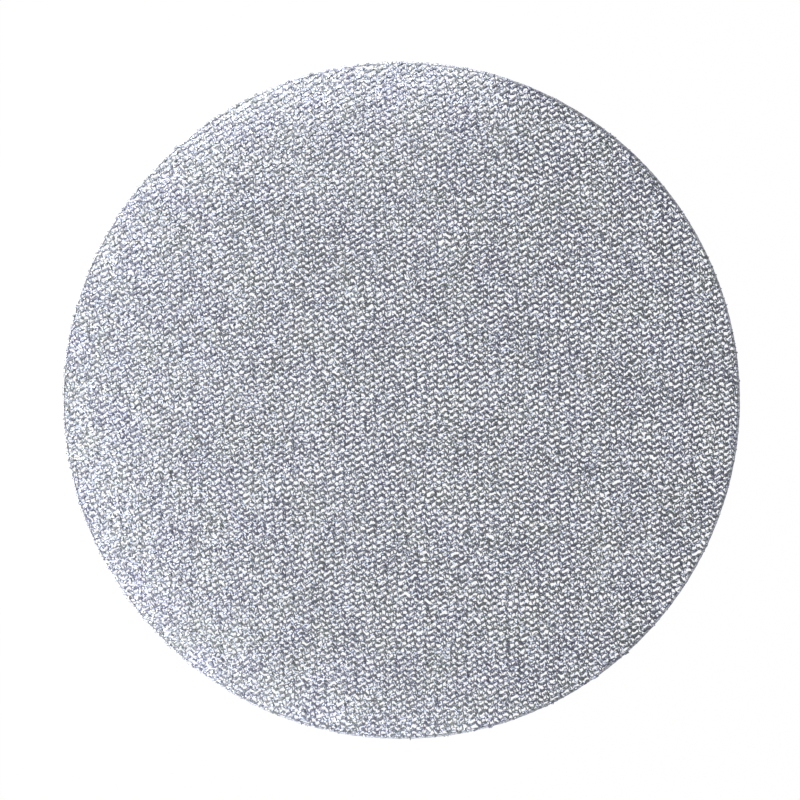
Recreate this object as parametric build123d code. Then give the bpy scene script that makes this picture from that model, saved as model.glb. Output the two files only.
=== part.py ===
from build123d import *
import os

# Mesh sanding disc for a hook backing pad. One piece: a knitted net coated with
# abrasive, with a loop pile knitted into its back and a sealed band round its cut edge.
# It lies on its loop face. The origin is the centre of that face, +Z points out of the
# abrasive face and the knitted rows run along X. All sizes are in millimetres.

# Outline and section
disc_diameter = 150.0
pile_thickness = 0.6  # loop pile and the foot of the net, from the loop face up
yarn_height = 0.55  # how far the coated rows stand above that
band_width = 0.6  # sealed band round the cut edge
band_proud = 0.05  # how far the band stands above the rows' crests
band_bevel = 0.2  # worn-off outer corner of the band
trim_waste = 2.0  # width of the offcut outside the band, before the disc is cut out

# The knit at its real size
row_pitch = 1.33
column_pitch = 1.13
opening_height = 0.62
link_width = 0.25  # link between two openings of a row

# The knit as the solid carries it: each ridge stands for a few rows, and only some of
# the openings between the ridges are cut right through.
rows_per_ridge = 3
waves_between_gaps = 2
ridges_between_gaps = 3
gap_margin = 0.5  # least wall between a gap and the sealed band

disc_radius = disc_diameter / 2
band_inner_radius = disc_radius - band_width
crest_z = pile_thickness + yarn_height
band_z = crest_z + band_proud
ridge_pitch = rows_per_ridge * row_pitch
half_wave = rows_per_ridge * column_pitch
zigzag_rise = ridge_pitch / 2  # openings of neighbouring columns are half a row apart
gap_height = rows_per_ridge * opening_height
gap_length = half_wave - rows_per_ridge * link_width


def ridge_section(x, shift):
    """The net's section across its rows at x: a flat foot under a row of roofs."""
    count = int(disc_radius / ridge_pitch) + 2
    start = shift - (count + 0.5) * ridge_pitch
    outline = [Vector(x, start, 0), Vector(x, start, pile_thickness)]
    for i in range(2 * count + 1):
        valley = start + i * ridge_pitch
        outline.append(Vector(x, valley + ridge_pitch / 2, crest_z))
        outline.append(Vector(x, valley + ridge_pitch, pile_thickness))
    outline.append(Vector(x, outline[-1].Y, 0))
    return Face(Wire.make_polygon(outline, close=True))


def zigzag_net():
    """Rows that zigzag: the section is extruded slantwise, up and down in turn."""
    slabs = []
    for i in range(int(disc_radius / half_wave) + 1):
        rises = i % 2 == 0
        section = ridge_section(i * half_wave, 0 if rises else zigzag_rise)
        run = Vector(half_wave, zigzag_rise if rises else -zigzag_rise, 0)
        slabs.append(extrude(section, amount=run.length, dir=run))
    right_half = slabs[0].fuse(*slabs[1:])
    return right_half.fuse(right_half.mirror(Plane.YZ))


def gap(x, y):
    """One slanting opening, in the valley between two ridges that rise to the right."""
    slope = zigzag_rise / half_wave
    dx = gap_length / 2
    dy = gap_height / 2
    corners = [
        Vector(x - dx, y - dx * slope - dy),
        Vector(x + dx, y + dx * slope - dy),
        Vector(x + dx, y + dx * slope + dy),
        Vector(x - dx, y - dx * slope + dy),
    ]
    outline = Wire.make_polygon(corners, close=True)
    return extrude(Face(outline), amount=crest_z, dir=(0, 0, 1))


def gaps():
    """Openings spread evenly over the net, alternate lines of them staggered."""
    line_pitch = ridges_between_gaps * ridge_pitch
    step = waves_between_gaps * 2 * half_wave
    gap_reach = Vector(gap_length / 2, gap_height).length
    reach = band_inner_radius - gap_margin - gap_reach
    lines = int(disc_radius / line_pitch) + 1
    steps = int(disc_radius / step) + 1
    found = []
    for line in range(-lines, lines + 1):
        y = line * line_pitch + (ridge_pitch + zigzag_rise) / 2
        first_x = half_wave * (0.5 + waves_between_gaps * (line % 2))
        for i in range(-steps, steps + 1):
            x = first_x + i * step
            if Vector(x, y).length < reach:
                found.append(gap(x, y))
    return found


def sealed_band():
    """The flat bead where the hot cut has fused the yarn ends, with its offcut."""
    ring = Cylinder(disc_radius + trim_waste, band_z) - Cylinder(band_inner_radius, band_z)
    return Pos(0, 0, band_z / 2) * ring.solid()


def cut_out():
    """What the cutter keeps: a round disc with its upper corner worn off."""
    blank = Cylinder(disc_radius, band_z)
    upper_edge = blank.edges().filter_by(GeomType.CIRCLE).sort_by(Axis.Z)[-1]
    return Pos(0, 0, band_z / 2) * chamfer(upper_edge, band_bevel)


def mesh_disc():
    """The whole disc as one solid."""
    net = zigzag_net().cut(*gaps())
    return net.fuse(sealed_band()) & cut_out()


os.makedirs("parts", exist_ok=True)
export_step(mesh_disc(), "parts/mesh_disc.step")
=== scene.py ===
import bpy
import math
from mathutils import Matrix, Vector


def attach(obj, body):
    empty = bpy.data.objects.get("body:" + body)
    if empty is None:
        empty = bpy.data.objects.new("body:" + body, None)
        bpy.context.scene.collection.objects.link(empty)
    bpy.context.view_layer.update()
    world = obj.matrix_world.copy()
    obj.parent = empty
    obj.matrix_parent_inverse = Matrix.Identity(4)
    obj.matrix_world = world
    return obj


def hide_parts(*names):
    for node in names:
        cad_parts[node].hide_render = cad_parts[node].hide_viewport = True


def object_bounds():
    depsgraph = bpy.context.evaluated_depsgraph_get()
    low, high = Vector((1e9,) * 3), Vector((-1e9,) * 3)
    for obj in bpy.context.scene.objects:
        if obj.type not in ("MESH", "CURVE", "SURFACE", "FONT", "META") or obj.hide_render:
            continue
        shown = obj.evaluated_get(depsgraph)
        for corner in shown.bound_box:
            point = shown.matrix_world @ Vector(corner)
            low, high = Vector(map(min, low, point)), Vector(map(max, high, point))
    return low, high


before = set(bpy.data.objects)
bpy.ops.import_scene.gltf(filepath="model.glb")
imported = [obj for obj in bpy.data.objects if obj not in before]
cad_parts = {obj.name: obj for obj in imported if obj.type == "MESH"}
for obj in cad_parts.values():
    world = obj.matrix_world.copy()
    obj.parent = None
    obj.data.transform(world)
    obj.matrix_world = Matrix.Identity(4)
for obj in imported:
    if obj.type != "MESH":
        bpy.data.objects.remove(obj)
cad_low, cad_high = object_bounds()


# The knitted rows. Stiff multifilament yarn, knitted into rows that zigzag side by side,
# with resin and abrasive grains coated over everything that faces up. The back of the
# yarn stays bare. The coat is lumpy, and thicker where the row rises to the right.
MM = 0.001
disc_radius = cad_high.x
net_radius = disc_radius - 0.15 * MM  # the rows end inside the sealed band
row_pitch = 1.33 * MM
column_pitch = 1.13 * MM
yarn_radius = 0.347 * MM
zigzag = 0.29 * row_pitch  # how far a row strays up and down
zigzag_skew = 0.14  # it rises over a longer stretch than it falls
yarn_swing = 0.09  # share by which the yarn is thicker where it rises, thinner where it falls
yarn_knots = 0.16  # and where it turns, in both crest and valley
yarn_lumps = 0.10  # share by which the coat swells and shrinks along the yarn
yarn_lump_spacing = 0.6 * MM
yarn_height = 0.80 * MM  # middle of the yarn above the floor
yarn_lift = -0.05 * MM  # it lies a little lower where it rises, and higher where it falls
grit_depth = 0.4 * MM  # how deep the lumps of the coat are
grit_spacing = 0.35 * MM
grit_seed = 3.0
grit_corners = 0.20 * MM  # how far single corners of the coat stand out
corner_seed = 8
slow_pull = 1.7 * MM  # how far the knit strays from its lattice over centimetres
slow_spacing = 18 * MM
slow_seed = 1.0
stitch_pull = 0.66 * MM  # and from stitch to stitch
stitch_spacing = 0.7 * MM
stitch_seed = 2.0
flat_share = 0.2  # share of both that also moves the knit up and down
held_width = 2 * MM  # next to the band the knit is held
held_share = 0.1  # share by which it can still stray there
edge_width = 5 * MM  # the net bends down a little towards its edge
edge_drop = 0.12 * MM
steps_per_wave = 8
yarn_sides = 5
row_bands = (-1.0, -0.4, 0.0, 0.4, 1.0)  # the net is kept in bands of rows of about one area
violet_slate = (0.104, 0.109, 0.158)
green_slate = (0.122, 0.136, 0.143)
hue_patch = 8 * MM
# pale grain specks in the coat: partly the grains' own paler colour, partly painted glints
pale_grain_painted_glint = (0.73, 0.79, 0.94, 1)
grain_width = 0.25 * MM
pale_grain_painted_glint_span = (0.79, 0.85)  # where in a grain's random value, from 0 to 1, it turns from dark to pale: partly a paler grain colour, partly a painted glint
clump_width = 0.50 * MM
clump_tones = (0.78, 1.25)  # share of the coat's colour in its darkest and palest clumps
wale_width = 0.7 * MM
wale_tones = (0.97, 1.03)  # the columns of stitches differ a little in tone too
wale_stretch = (1, 0.01, 0)  # and keep it nearly all the way along Y
bare_yarn = (0.48, 0.54, 0.70, 1)
coat_line = (0.45 * MM, 0.62 * MM)  # the coat fades out between these heights
coat_relief = 0.05 * MM


def node(tree, kind, values=(), **settings):
    """Adds one node: settings are its own, values go to its inputs by name or number."""
    made = tree.nodes.new(kind)
    for name, value in settings.items():
        setattr(made, name, value)
    for name, value in dict(values).items():
        if isinstance(value, bpy.types.NodeSocket):
            tree.links.new(value, made.inputs[name])
        else:
            made.inputs[name].default_value = value
    return made


def reckon(tree, operation, *terms):
    """One sum on plain numbers or sockets."""
    return node(tree, "ShaderNodeMath", enumerate(terms), operation=operation).outputs[0]


def vector(tree, x=0.0, y=0.0, z=0.0):
    """A vector from plain numbers or sockets."""
    return node(tree, "ShaderNodeCombineXYZ", {0: x, 1: y, 2: z}).outputs[0]


def vectors(tree, operation, *terms):
    """One sum on vectors."""
    return node(tree, "ShaderNodeVectorMath", enumerate(terms), operation=operation).outputs[0]


def span(tree, value, low, high, new_low=0.0, new_high=1.0):
    """A value carried over from one span to another, and held at its ends."""
    limits = {0: value, 1: low, 2: high, 3: new_low, 4: new_high}
    return node(tree, "ShaderNodeMapRange", limits).outputs[0]


def mottle(tree, place, grain, low, high, blur=0.2, detail=1.0):
    """Noise with patches of one size, carried over to a span: little blur gives hard edges."""
    noise = node(tree, "ShaderNodeTexNoise", {"Vector": place, "Scale": 1 / grain, "Detail": detail})
    return span(tree, noise.outputs[0], 0.5 - blur, 0.5 + blur, low, high)


def stray(tree, place, grain, depth, seed):
    """A random offset that changes smoothly from place to place."""
    values = {"Vector": place, "W": seed, "Scale": 1 / grain, "Detail": 1.0}
    noise = node(tree, "ShaderNodeTexNoise", values, noise_dimensions="4D")
    centred = vectors(tree, "SUBTRACT", noise.outputs["Color"], (0.5, 0.5, 0.5))
    return vectors(tree, "MULTIPLY", centred, vector(tree, depth, depth, depth))


def scattered(tree, depth, seed):
    """A random offset of its own for each corner of a mesh."""
    values = {0: (-0.5, -0.5, -0.5), 1: (0.5, 0.5, 0.5), "Seed": seed}
    values = node(tree, "FunctionNodeRandomValue", values, data_type="FLOAT_VECTOR").outputs[0]
    return vectors(tree, "MULTIPLY", values, vector(tree, depth, depth, depth))


def knit_pull(tree, place):
    """How the knit strays from its lattice at a place, and bends down at the edge."""
    slow = stray(tree, place, slow_spacing, slow_pull, slow_seed)
    quick = stray(tree, place, stitch_spacing, stitch_pull, stitch_seed)
    reach = node(tree, "ShaderNodeVectorMath", {0: place}, operation="LENGTH").outputs["Value"]
    free = span(tree, reach, net_radius - held_width, net_radius, 1.0, held_share)
    flat = vectors(tree, "ADD", slow, quick)
    flat = vectors(tree, "MULTIPLY", flat, vector(tree, free, free, flat_share))
    bend = reckon(tree, "POWER", span(tree, reach, net_radius - edge_width, net_radius), 2.0)
    return vectors(tree, "ADD", flat, vector(tree, z=reckon(tree, "MULTIPLY", bend, -edge_drop)))


def new_tree(name, sizes):
    """A geometry tree with one named input for each size."""
    tree = bpy.data.node_groups.new(name, "GeometryNodeTree")
    tree.interface.new_socket("Geometry", in_out="OUTPUT", socket_type="NodeSocketGeometry")
    for size, value in sizes.items():
        kind = {int: "NodeSocketInt", float: "NodeSocketFloat"}.get(type(value), "NodeSocketObject")
        tree.interface.new_socket(size, in_out="INPUT", socket_type=kind)
    return tree, tree.nodes.new("NodeGroupInput").outputs


def trimmed(tree, geometry, place, radius):
    """What lies within a radius of the middle."""
    reach = node(tree, "ShaderNodeVectorMath", {0: place}, operation="LENGTH").outputs["Value"]
    outside = node(tree, "FunctionNodeCompare", {0: reach, 1: radius}, operation="GREATER_THAN")
    cut = {"Geometry": geometry, "Selection": outside.outputs[0]}
    return node(tree, "GeometryNodeDeleteGeometry", cut).outputs[0]


def spun(tree, curves, radius, sides):
    """Tubes round curves, standing upright, with closed ends."""
    upright = node(tree, "GeometryNodeSetCurveNormal", {"Curve": curves}, mode="Z_UP")
    ring = node(tree, "GeometryNodeCurvePrimitiveCircle", {"Resolution": sides, "Radius": 1.0})
    tube = {
        "Curve": upright.outputs[0],
        "Profile Curve": ring.outputs[0],
        "Scale": radius,
        "Fill Caps": True,
    }
    return node(tree, "GeometryNodeCurveToMesh", tube).outputs[0]


def moved(tree, geometry, offset):
    """The same geometry, each of its points moved."""
    return node(tree, "GeometryNodeSetPosition", {"Geometry": geometry, "Offset": offset}).outputs[0]


def close_tree(tree, mesh, material, rounded):
    """Ends a tree: real faces only, smooth or faceted, in one material."""
    real = node(tree, "GeometryNodeRealizeInstances", {"Geometry": mesh})
    smooth = node(tree, "GeometryNodeSetShadeSmooth", {0: real.outputs[0], "Shade Smooth": rounded})
    painted = {"Geometry": smooth.outputs[0], "Material": material}
    painted = node(tree, "GeometryNodeSetMaterial", painted)
    tree.links.new(painted.outputs[0], tree.nodes.new("NodeGroupOutput").inputs[0])


def made_by(tree, name, sizes):
    """Runs a tree with these sizes and keeps the result as a plain mesh."""
    piece = bpy.data.objects.new(name, bpy.data.meshes.new(name))
    bpy.context.scene.collection.objects.link(piece)
    maker = piece.modifiers.new("maker", "NODES")
    maker.node_group = tree
    for socket in tree.interface.items_tree:
        if socket.in_out == "INPUT":
            maker[socket.identifier] = sizes[socket.name]
    depsgraph = bpy.context.evaluated_depsgraph_get()
    mesh = bpy.data.meshes.new_from_object(piece.evaluated_get(depsgraph), depsgraph=depsgraph)
    piece.modifiers.remove(maker)
    piece.data = mesh
    mesh.name = name
    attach(piece, "root")
    return piece


def new_material(name, roughness):
    """A material, its nodes, its shader and the place on the object."""
    made = bpy.data.materials.new(name)
    made.use_nodes = True
    shader = made.node_tree.nodes["Principled BSDF"]
    shader.inputs["Roughness"].default_value = roughness
    place = made.node_tree.nodes.new("ShaderNodeTexCoord").outputs["Object"]
    return made, made.node_tree, shader, place


def blended(tree, share, first, second):
    """A mix of two colours."""
    values = {0: share, 6: first, 7: second}
    return node(tree, "ShaderNodeMix", values, data_type="RGBA").outputs[2]


def slate_hue(tree, place):
    """The colour of the resin, which turns from violet to green and back in patches."""
    patches = mottle(tree, place, hue_patch, 0.0, 1.0, blur=0.16, detail=3.0)
    return blended(tree, patches, violet_slate + (1,), green_slate + (1,))


coat, paint, shader, place = new_material("grit_coat", roughness=0.42)
hue = slate_hue(paint, place)
clumps = mottle(paint, place, clump_width, *clump_tones)
# The coat's grains, dark or pale. The pale specks are partly the clear grains' own colour and partly
# painted glints.
grains = node(paint, "ShaderNodeTexVoronoi", {"Vector": place, "Scale": 1 / grain_width})
grains = node(paint, "ShaderNodeSeparateColor", {0: grains.outputs["Color"]}).outputs[0]
grains = span(paint, grains, *pale_grain_painted_glint_span)
wales = vectors(paint, "MULTIPLY", place, wale_stretch)
wales = mottle(paint, wales, wale_width, *wale_tones)
level = reckon(paint, "MULTIPLY", clumps, wales)
grey = blended(paint, grains, hue, pale_grain_painted_glint)
grey = vectors(paint, "MULTIPLY", grey, vector(paint, level, level, level))
height = node(paint, "ShaderNodeSeparateXYZ", {0: place}).outputs[2]
coated = span(paint, height, *coat_line)
paint.links.new(blended(paint, coated, bare_yarn, grey), shader.inputs["Base Color"])
relief = node(paint, "ShaderNodeBump", {"Height": level, "Distance": coat_relief, "Strength": 0.8})
paint.links.new(relief.outputs[0], shader.inputs["Normal"])

sizes = {
    "Net Radius": net_radius,
    "Row Pitch": row_pitch,
    "Column Pitch": column_pitch,
    "Zigzag": zigzag,
    "Zigzag Skew": zigzag_skew,
    "Yarn Radius": yarn_radius,
    "Yarn Swing": yarn_swing,
    "Yarn Knots": yarn_knots,
    "Yarn Lumps": yarn_lumps,
    "Height": yarn_height,
    "Lift": yarn_lift,
    "Grit Depth": grit_depth,
    "Grit Corners": grit_corners,
    "First Row": 0,
    "Rows": 0,
    "Steps": 0,
    "Sides": yarn_sides,
}
tree, size = new_tree("knitted_rows", sizes)
wave = reckon(tree, "MULTIPLY", size["Column Pitch"], 2.0)
step = reckon(tree, "DIVIDE", wave, float(steps_per_wave))
start_x = reckon(tree, "MULTIPLY", reckon(tree, "MULTIPLY", size["Steps"], step), -0.5)
first_y = reckon(tree, "MULTIPLY", size["First Row"], size["Row Pitch"])
next_step = vector(tree, x=step)
row = {"Count": size["Steps"], "Start Location": vector(tree, x=start_x), "Offset": next_step}
row = node(tree, "GeometryNodeMeshLine", row)
next_row = vector(tree, y=size["Row Pitch"])
starts = {"Count": size["Rows"], "Start Location": vector(tree, y=first_y), "Offset": next_row}
starts = node(tree, "GeometryNodeMeshLine", starts)
rows = {"Points": starts.outputs[0], "Instance": row.outputs[0]}
rows = node(tree, "GeometryNodeInstanceOnPoints", rows)
rows = node(tree, "GeometryNodeRealizeInstances", {"Geometry": rows.outputs[0]})
here = tree.nodes.new("GeometryNodeInputPosition").outputs[0]
along = node(tree, "ShaderNodeSeparateXYZ", {0: here}).outputs[0]
angle = reckon(tree, "DIVIDE", reckon(tree, "MULTIPLY", along, 2 * math.pi), wave)
lean = reckon(tree, "COSINE", angle)
twice = reckon(tree, "SINE", reckon(tree, "MULTIPLY", angle, 2.0))
skew = reckon(tree, "MULTIPLY", twice, size["Zigzag Skew"])
rise = reckon(tree, "SUBTRACT", reckon(tree, "SINE", angle), skew)
rise = reckon(tree, "MULTIPLY", rise, size["Zigzag"])
lifted = reckon(tree, "MULTIPLY_ADD", lean, size["Lift"], size["Height"])
turns = reckon(tree, "MULTIPLY_ADD", reckon(tree, "MULTIPLY", lean, lean), -2.0, 1.0)
swing = reckon(tree, "MULTIPLY_ADD", turns, size["Yarn Knots"], 1.0)
swing = reckon(tree, "MULTIPLY_ADD", lean, size["Yarn Swing"], swing)
lumps = mottle(tree, here, yarn_lump_spacing, -1.0, 1.0)
lumps = reckon(tree, "MULTIPLY_ADD", lumps, size["Yarn Lumps"], 1.0)
radius = reckon(tree, "MULTIPLY", reckon(tree, "MULTIPLY", swing, lumps), size["Yarn Radius"])
shape = vectors(tree, "ADD", vector(tree, y=rise, z=lifted), knit_pull(tree, here))
kept = trimmed(tree, rows.outputs[0], vectors(tree, "ADD", here, shape), size["Net Radius"])
yarns = node(tree, "GeometryNodeMeshToCurve", {"Mesh": kept})
yarns = node(tree, "GeometryNodeSetCurveRadius", {"Curve": yarns.outputs[0], "Radius": radius})
own_radius = tree.nodes.new("GeometryNodeInputRadius").outputs[0]
tubes = spun(tree, moved(tree, yarns.outputs[0], shape), own_radius, size["Sides"])
grit = stray(tree, here, grit_spacing, size["Grit Depth"], grit_seed)
grit = vectors(tree, "ADD", grit, scattered(tree, size["Grit Corners"], corner_seed))
close_tree(tree, moved(tree, tubes, grit), coat, False)

rows_each_way = int(net_radius / row_pitch)
sizes["Steps"] = 2 * int(net_radius / (2 * column_pitch / steps_per_wave)) + 1
rows = []
for low_share, high_share in zip(row_bands, row_bands[1:]):
    first = math.ceil(low_share * rows_each_way + 0.5) if rows else -rows_each_way
    sizes["First Row"] = first
    sizes["Rows"] = math.floor(high_share * rows_each_way + 0.5) - first + 1
    rows.append(made_by(tree, "knitted_rows_%d" % (len(rows) + 1), sizes))
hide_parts("mesh_disc")


# The links between the rows. Thinner loops of the same yarn tie each row to the next one
# where the rows fall to the right, and single filaments of it stray across the openings.
# The coat covers both, and fills the corners where a link meets a row.
link_waist = 0.85  # share of a link's radius halfway along it
link_flare = 0.45  # and how much that grows towards its ends
link_lumps = (0.85, 1.15)
link_lump_spacing = 1.1 * MM
link_grit = 1.6  # depth of the coat's lumps, as a share of the link's radius
furthest_left = (-1, -0.2, 0)  # shares of a link's stray, far along the row and less across it
furthest_right = (1, 0.2, 0)
most_upright = (0.0, 1.0, 1.0)  # shares of a link's own size, each way
most_slanting = (2.0, 1.0, 1.0)
sizes = {
    "Net Radius": net_radius - row_pitch / 2,
    "Row Pitch": row_pitch,
    "Spacing": 0.0,
    "Link Radius": 0.0,
    "Link Slant": 0.0,
    "Link Stray": 0.0,
    "Missing Share": 0.0,
    "Height": 0.0,
    "Columns": 0,
    "Gaps": 2 * rows_each_way,
    "Seed": 0,
    "Sides": 0,
    "Points": 0,
}
tree, size = new_tree("row_links", sizes)
last_column = reckon(tree, "SUBTRACT", size["Columns"], 1.0)
last_gap = reckon(tree, "SUBTRACT", size["Gaps"], 1.0)
grid = node(tree, "GeometryNodeMeshGrid", {
    "Size X": reckon(tree, "MULTIPLY", last_column, size["Spacing"]),
    "Size Y": reckon(tree, "MULTIPLY", last_gap, size["Row Pitch"]),
    "Vertices X": size["Columns"],
    "Vertices Y": size["Gaps"],
})
here = tree.nodes.new("GeometryNodeInputPosition").outputs[0]
spots = trimmed(tree, grid.outputs[0], here, size["Net Radius"])
half = reckon(tree, "MULTIPLY", size["Row Pitch"], 0.5)
high_end = vector(tree, size["Link Slant"], half)
low_end = vectors(tree, "SUBTRACT", (0, 0, 0), high_end)
link = node(tree, "GeometryNodeCurvePrimitiveLine", {"Start": low_end, "End": high_end})
link = node(tree, "GeometryNodeResampleCurve", {"Curve": link.outputs[0], "Count": size["Points"]})
kept = node(tree, "FunctionNodeRandomValue", {"Seed": size["Seed"]}, data_type="FLOAT").outputs[1]
kept = {0: kept, 1: size["Missing Share"]}
kept = node(tree, "FunctionNodeCompare", kept, operation="GREATER_THAN").outputs[0]
uneven = {0: most_upright, 1: most_slanting, "Seed": size["Seed"]}
uneven = node(tree, "FunctionNodeRandomValue", uneven, data_type="FLOAT_VECTOR").outputs[0]
aside = {0: furthest_left, 1: furthest_right, "Seed": size["Seed"]}
aside = node(tree, "FunctionNodeRandomValue", aside, data_type="FLOAT_VECTOR").outputs[0]
reach = vector(tree, size["Link Stray"], size["Link Stray"])
spots = moved(tree, spots, vectors(tree, "MULTIPLY", aside, reach))
links = {"Points": spots, "Instance": link.outputs[0], "Selection": kept, "Scale": uneven}
links = node(tree, "GeometryNodeInstanceOnPoints", links)
links = node(tree, "GeometryNodeRealizeInstances", {"Geometry": links.outputs[0]})
part = tree.nodes.new("GeometryNodeSplineParameter").outputs[0]
from_middle = reckon(tree, "ABSOLUTE", reckon(tree, "MULTIPLY_ADD", part, 2.0, -1.0))
flare = reckon(tree, "MULTIPLY_ADD", from_middle, link_flare, link_waist)
lumps = mottle(tree, here, link_lump_spacing, *link_lumps)
radius = reckon(tree, "MULTIPLY", reckon(tree, "MULTIPLY", flare, lumps), size["Link Radius"])
links = node(tree, "GeometryNodeSetCurveRadius", {"Curve": links.outputs[0], "Radius": radius})
shape = vectors(tree, "ADD", vector(tree, z=size["Height"]), knit_pull(tree, here))
own_radius = tree.nodes.new("GeometryNodeInputRadius").outputs[0]
tubes = spun(tree, moved(tree, links.outputs[0], shape), own_radius, size["Sides"])
depth = reckon(tree, "MULTIPLY", size["Link Radius"], link_grit)
grit = stray(tree, here, grit_spacing, depth, grit_seed)
close_tree(tree, moved(tree, tubes, grit), coat, False)

waves_each_way = int(net_radius / (2 * column_pitch))
sizes.update({"Spacing": 2 * column_pitch, "Columns": 2 * waves_each_way + 2})
sizes.update({"Seed": 4, "Sides": 5, "Points": 3})
sizes.update({"Link Radius": 0.145 * MM, "Link Slant": 0.45 * MM, "Link Stray": 0.22 * MM})
sizes.update({"Missing Share": 0.10, "Height": 0.70 * MM})
row_links = made_by(tree, "row_links", sizes)

sizes.update({"Spacing": column_pitch, "Columns": 4 * waves_each_way + 2})
sizes.update({"Seed": 5, "Sides": 3, "Points": 2})
sizes.update({"Link Radius": 0.11 * MM, "Link Slant": -0.20 * MM, "Link Stray": 0.55 * MM})
sizes.update({"Missing Share": 0.05, "Height": 0.72 * MM})
made_by(tree, "stray_filaments", sizes)


# The sealed band round the rim. The hot cut melts the yarn ends and the pile together
# into one flat bead of paler, smoother plastic. It is a little uneven where the rows run
# in, and speckled by the burnt coat.
band_width = 0.6 * MM
band_top = cad_high.z - 0.35 * MM
band_foot = 0.12 * MM
band_sides = 10
band_wobble = 0.25 * MM  # how far its surface strays
wobble_spacing = 0.8 * MM
wobble_seed = 6.0
band_grey = (0.34, 0.35, 0.39)
soot_speck = 0.4 * MM
soot_tones = (0.5, 1.4)
band_material, paint, shader, place = new_material("sealed_edge", roughness=0.38)
soot = mottle(paint, place, soot_speck, *soot_tones, blur=0.14)
grey = vectors(paint, "MULTIPLY", band_grey, vector(paint, soot, soot, soot))
paint.links.new(grey, shader.inputs["Base Color"])
relief = node(paint, "ShaderNodeBump", {"Height": soot, "Distance": coat_relief, "Strength": 0.5})
paint.links.new(relief.outputs[0], shader.inputs["Normal"])
sizes = {
    "Radius": disc_radius - band_width / 2,
    "Width": band_width,
    "Low": band_foot,
    "High": band_top,
    "Steps": 900,
}
tree, size = new_tree("sealed_band", sizes)
path = {"Resolution": size["Steps"], "Radius": size["Radius"]}
path = node(tree, "GeometryNodeCurvePrimitiveCircle", path)
path = node(tree, "GeometryNodeSetCurveNormal", {"Curve": path.outputs[0]}, mode="Z_UP")
profile = node(tree, "GeometryNodeCurvePrimitiveCircle", {"Resolution": band_sides, "Radius": 0.5})
tall = reckon(tree, "SUBTRACT", size["High"], size["Low"])
squeezed = {"Geometry": profile.outputs[0], "Scale": vector(tree, size["Width"], tall, 1.0)}
squeezed = node(tree, "GeometryNodeTransform", squeezed)
bead = {"Curve": path.outputs[0], "Profile Curve": squeezed.outputs[0]}
bead = node(tree, "GeometryNodeCurveToMesh", bead)
here = tree.nodes.new("GeometryNodeInputPosition").outputs[0]
middle = reckon(tree, "MULTIPLY", reckon(tree, "ADD", size["High"], size["Low"]), 0.5)
uneven = stray(tree, here, wobble_spacing, band_wobble, wobble_seed)
uneven = vectors(tree, "ADD", uneven, vector(tree, z=middle))
close_tree(tree, moved(tree, bead.outputs[0], uneven), band_material, True)
sealed_band = made_by(tree, "sealed_band", sizes)


# The abrasive grains. Crushed aluminium oxide, sprinkled on the wet resin so that sharp
# corners stand up from the coat. Some are dark, and some are paler: partly the clear grains' own
# colour, partly painted glints.
grain_size = 0.24 * MM
grains_per_square_metre = 1.5e6
grain_faces_up = 0.25  # least upward slant of the coat that catches grains
grain_scatter = (0.6, 1.4)  # share of the grain's size, each way on its own
dark_shade = 0.4
# the palest grains: partly their own clear colour, partly a painted glint
painted_glint_shade = 3.2
painted_glint_rarity = 3.0  # the higher, the fewer grains are pale with a painted glint
any_turn = 6.3  # a full turn, in radians
grain_material, paint, shader, place = new_material("loose_grains", roughness=0.3)
# Each grain's tone; the pale ones partly carry a painted glint.
shade = node(paint, "ShaderNodeAttribute", attribute_name="grain_shade").outputs["Fac"]
grey = vectors(paint, "MULTIPLY", slate_hue(paint, place), vector(paint, shade, shade, shade))
paint.links.new(grey, shader.inputs["Base Color"])
first_grain_seed = 7
sizes = {
    "Coated": row_links,
    "Grain Size": grain_size,
    "Spread": grains_per_square_metre,
    "Seed": first_grain_seed,
}
tree, size = new_tree("abrasive_grains", sizes)
coated = node(tree, "GeometryNodeObjectInfo", {"Object": size["Coated"]}).outputs["Geometry"]
facing = tree.nodes.new("GeometryNodeInputNormal").outputs[0]
facing = node(tree, "ShaderNodeSeparateXYZ", {0: facing}).outputs[2]
facing = {0: facing, 1: grain_faces_up}
facing = node(tree, "FunctionNodeCompare", facing, operation="GREATER_THAN").outputs[0]
spots = {"Mesh": coated, "Selection": facing, "Density": size["Spread"], "Seed": size["Seed"]}
spots = node(tree, "GeometryNodeDistributePointsOnFaces", spots).outputs["Points"]
grain = {"Vertices": 3, "Radius Top": 0.0, "Radius Bottom": 0.65, "Depth": 1.0}
grain = node(tree, "GeometryNodeMeshCone", grain)
turned = {1: (any_turn, any_turn, any_turn), "Seed": size["Seed"]}
turned = node(tree, "FunctionNodeRandomValue", turned, data_type="FLOAT_VECTOR").outputs[0]
broken = {0: (grain_scatter[0],) * 3, 1: (grain_scatter[1],) * 3, "Seed": size["Seed"]}
broken = node(tree, "FunctionNodeRandomValue", broken, data_type="FLOAT_VECTOR").outputs[0]
whole = vector(tree, size["Grain Size"], size["Grain Size"], size["Grain Size"])
broken = vectors(tree, "MULTIPLY", broken, whole)
grains = {"Points": spots, "Instance": grain.outputs[0], "Rotation": turned, "Scale": broken}
grains = node(tree, "GeometryNodeInstanceOnPoints", grains).outputs[0]
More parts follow.
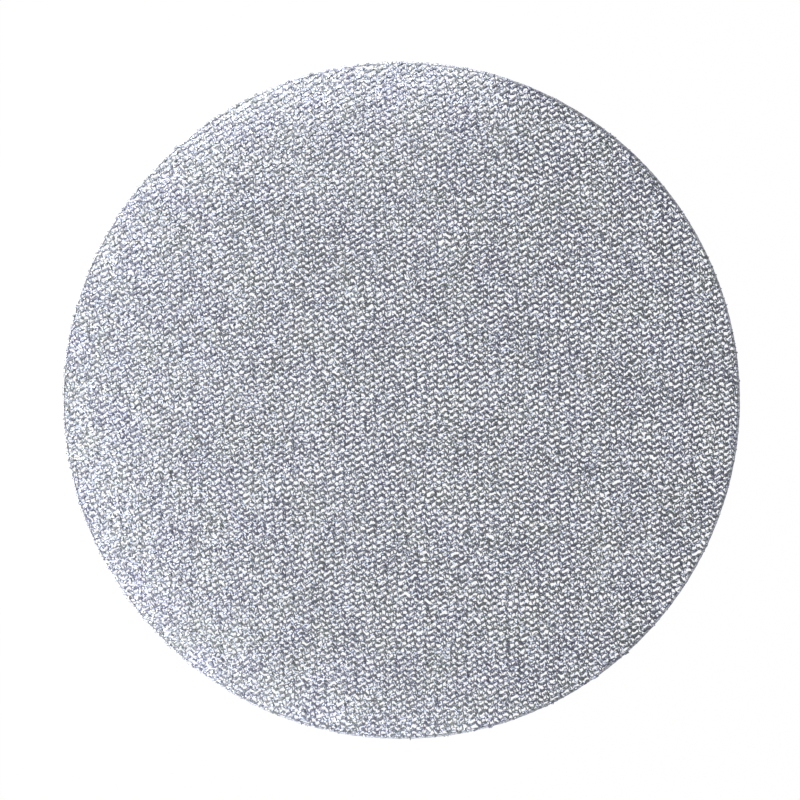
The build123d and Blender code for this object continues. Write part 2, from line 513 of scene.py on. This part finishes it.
# Each grain's own tone, dark or pale; the pale ones partly carry a painted glint.
shade = node(tree, "FunctionNodeRandomValue", {"Seed": size["Seed"]}, data_type="FLOAT").outputs[1]
shade = reckon(tree, "POWER", shade, painted_glint_rarity)
shade = reckon(tree, "MULTIPLY_ADD", shade, painted_glint_shade, dark_shade)
shade = {"Geometry": grains, "Name": "grain_shade", "Value": shade}
grains = node(tree, "GeometryNodeStoreNamedAttribute", shade, data_type="FLOAT", domain="INSTANCE")
real = node(tree, "GeometryNodeRealizeInstances", {"Geometry": grains.outputs[0]})
painted = {"Geometry": real.outputs[0], "Material": grain_material}
painted = node(tree, "GeometryNodeSetMaterial", painted)
tree.links.new(painted.outputs[0], tree.nodes.new("NodeGroupOutput").inputs[0])
for count, coated in enumerate(rows + [row_links, sealed_band]):
    sizes.update({"Coated": coated, "Seed": first_grain_seed + count})
    made_by(tree, "grains_%s" % coated.name, sizes)


# The loop pile. Fine white polyamide filament, knitted into the back of every stitch in
# soft loops that hang down to the pad and lean a little. It shows through the openings.
pile_white = (0.68, 0.78, 1.0)
tone_patch = 0.4 * MM
pile_tones = (0.7, 1.3)
loop_root = 0.64 * MM
loop_depth = 0.52 * MM
loop_width = 0.8 * MM
filament_radius = 0.075 * MM
pile_edge = 0.5 * MM  # the pile ends this far inside the net
smallest_loop = (0.7, 0.7, 0.7)  # shares of its size, each way on its own
largest_loop = (1.5, 1.5, 1.0)
lowest = 0.01 * MM  # the loops that reach the table lie flat on it
pile_material, paint, shader, place = new_material("loop_pile", roughness=0.5)
tone = mottle(paint, place, tone_patch, *pile_tones)
white = vectors(paint, "MULTIPLY", pile_white, vector(paint, tone, tone, tone))
paint.links.new(white, shader.inputs["Base Color"])
sizes = {
    "Net Radius": net_radius - pile_edge,
    "Row Pitch": row_pitch,
    "Column Pitch": column_pitch,
    "Columns": 2 * waves_each_way + 1,
    "Rows": 2 * rows_each_way + 1,
    "Root": loop_root,
    "Depth": loop_depth,
    "Width": loop_width,
    "Filament Radius": filament_radius,
    "Seed": 21,
}
tree, size = new_tree("loop_pile", sizes)
last_column = reckon(tree, "SUBTRACT", size["Columns"], 1.0)
last_row = reckon(tree, "SUBTRACT", size["Rows"], 1.0)
wave = reckon(tree, "MULTIPLY", size["Column Pitch"], 2.0)
grid = node(tree, "GeometryNodeMeshGrid", {
    "Size X": reckon(tree, "MULTIPLY", last_column, wave),
    "Size Y": reckon(tree, "MULTIPLY", last_row, size["Row Pitch"]),
    "Vertices X": size["Columns"],
    "Vertices Y": size["Rows"],
})
here = tree.nodes.new("GeometryNodeInputPosition").outputs[0]
aside = {0: (-1, -0.5, 0), 1: (1, 0.5, 0), "Seed": size["Seed"]}
aside = node(tree, "FunctionNodeRandomValue", aside, data_type="FLOAT_VECTOR").outputs[0]
reach = vector(tree, size["Column Pitch"], size["Row Pitch"])
spots = moved(tree, grid.outputs[0], vectors(tree, "MULTIPLY", aside, reach))
spots = trimmed(tree, spots, here, size["Net Radius"])
half = reckon(tree, "MULTIPLY", size["Width"], 0.5)
loop = node(tree, "GeometryNodeCurveQuadraticBezier", {
    "Resolution": 4,
    "Start": vector(tree, reckon(tree, "MULTIPLY", half, -1.0)),
    "Middle": vector(tree, 0.0, half, reckon(tree, "MULTIPLY", size["Depth"], -2.0)),
    "End": vector(tree, half),
})
turned = {1: (0, 0, any_turn), "Seed": size["Seed"]}
turned = node(tree, "FunctionNodeRandomValue", turned, data_type="FLOAT_VECTOR").outputs[0]
grown = {0: smallest_loop, 1: largest_loop, "Seed": size["Seed"]}
grown = node(tree, "FunctionNodeRandomValue", grown, data_type="FLOAT_VECTOR").outputs[0]
loops = {"Points": spots, "Instance": loop.outputs[0], "Rotation": turned, "Scale": grown}
loops = node(tree, "GeometryNodeInstanceOnPoints", loops)
loops = node(tree, "GeometryNodeRealizeInstances", {"Geometry": loops.outputs[0]})
loops = {"Curve": loops.outputs[0], "Radius": size["Filament Radius"]}
loops = node(tree, "GeometryNodeSetCurveRadius", loops)
shape = vectors(tree, "ADD", vector(tree, z=size["Root"]), knit_pull(tree, here))
own_radius = tree.nodes.new("GeometryNodeInputRadius").outputs[0]
tubes = spun(tree, moved(tree, loops.outputs[0], shape), own_radius, 3)
laid = node(tree, "ShaderNodeSeparateXYZ", {0: here}).outputs
laid = vector(tree, laid[0], laid[1], reckon(tree, "MAXIMUM", laid[2], lowest))
laid = node(tree, "GeometryNodeSetPosition", {"Geometry": tubes, "Position": laid})
close_tree(tree, laid.outputs[0], pile_material, True)
made_by(tree, "loop_pile", sizes)


# The table the disc lies on, plain white. The camera sees it as white, and the shadow of
# the disc still falls on it.
floor_white = 0.985  # share of plain white in what the camera sees. The rest takes the shadow
floor_colour = (0.9, 0.9, 0.9, 1)
floor_mesh = bpy.data.meshes.new("floor")
corners = [(-3, -3, 0), (3, -3, 0), (3, 3, 0), (-3, 3, 0)]
floor_mesh.from_pydata(corners, [], [(0, 1, 2, 3)])
floor = bpy.data.objects.new("floor", floor_mesh)
bpy.context.scene.collection.objects.link(floor)
table_top = bpy.data.materials.new("table_top")
table_top.use_nodes = True
layout = table_top.node_tree
layout.nodes.clear()
white = node(layout, "ShaderNodeBsdfDiffuse", {"Color": floor_colour})
glow = node(layout, "ShaderNodeEmission", {"Color": (1, 1, 1, 1), "Strength": 1.0})
ray = layout.nodes.new("ShaderNodeLightPath").outputs
mirrored = reckon(layout, "MAXIMUM", ray["Is Glossy Ray"], ray["Is Transmission Ray"])
seen = reckon(layout, "MAXIMUM", ray["Is Camera Ray"], mirrored)
seen = reckon(layout, "MULTIPLY", seen, floor_white)
both = node(layout, "ShaderNodeMixShader", {0: seen, 1: white.outputs[0], 2: glow.outputs[0]})
node(layout, "ShaderNodeOutputMaterial", {0: both.outputs[0]})
floor_mesh.materials.append(table_top)


# The light. The room is even and white. One broad lamp stands far off to the left, a small
# one close to the left edge, and a row of tiny ones follows the left half of the rim.
room_light = 0.59
world = bpy.data.worlds.new("studio")
bpy.context.scene.world = world
world.use_nodes = True
air = world.node_tree
ray = air.nodes.new("ShaderNodeLightPath").outputs
strength = span(air, ray["Is Camera Ray"], 0.0, 1.0, room_light, 1.0)
air.links.new(strength, air.nodes["Background"].inputs["Strength"])
air.nodes["Background"].inputs["Color"].default_value = (1, 1, 1, 1)


def lamp(name, spot, aim, across, energy):
    """A square soft lamp that shines from one spot on another."""
    light = bpy.data.lights.new(name, "AREA")
    light.size = across
    light.energy = energy
    made = bpy.data.objects.new(name, light)
    made.location = spot
    toward = [b - a for a, b in zip(spot, aim)]
    made.rotation_euler = Vector(toward).to_track_quat("-Z", "Y").to_euler()
    made.visible_camera = False
    bpy.context.scene.collection.objects.link(made)


lamp("key", (-1.1, 0.44, 0.84), (0, 0, 0), across=0.7, energy=12.0)
lamp("left", (-0.115, 0, 0.05), (-0.05, 0, 0), across=0.04, energy=0.080)
rim_lamps = (0.8, 1.0, 1.1, 1.1, 1.0, 0.8, 0.6, 0.3, 0.2, 0.2, 0.5, 0.8, 0.9, 0.9, 0.7, 0.6, 0.4, 0.4)
rim_energy = 0.0029
rim_lamp_size = 0.012
first_turn = 78  # degrees round from +X
next_turn = 12
outside = 0.080  # the lamps stand just outside the disc
inside = 0.070  # and shine on a strip inside its rim
above = 0.010
for count, share in enumerate(rim_lamps):
    turn = math.radians(first_turn + next_turn * count)
    toward_x = math.cos(turn)
    toward_y = math.sin(turn)
    spot = (outside * toward_x, outside * toward_y, above)
    aim = (inside * toward_x, inside * toward_y, 0)
    lamp("rim_%d" % count, spot, aim, rim_lamp_size, rim_energy * share)


# The camera, straight above the disc. The disc fills the frame as it fills the photo's, and
# its middle lies where the photo has it.
camera = bpy.data.cameras.new("camera")
camera.lens = 85
camera.sensor_width = 36
photo_width = 800
disc_width_px = 678.6
disc_centre_px = (401.2, 400.1)
pixel = 2 * disc_radius / disc_width_px
view_width = photo_width * pixel
camera_object = bpy.data.objects.new("camera", camera)
camera_object.location = (
    (photo_width / 2 - disc_centre_px[0]) * pixel,
    (disc_centre_px[1] - photo_width / 2) * pixel,
    cad_high.z + view_width * camera.lens / camera.sensor_width,
)
bpy.context.scene.collection.objects.link(camera_object)
bpy.context.scene.camera = camera_object
bpy.context.scene.view_settings.view_transform = "Standard"
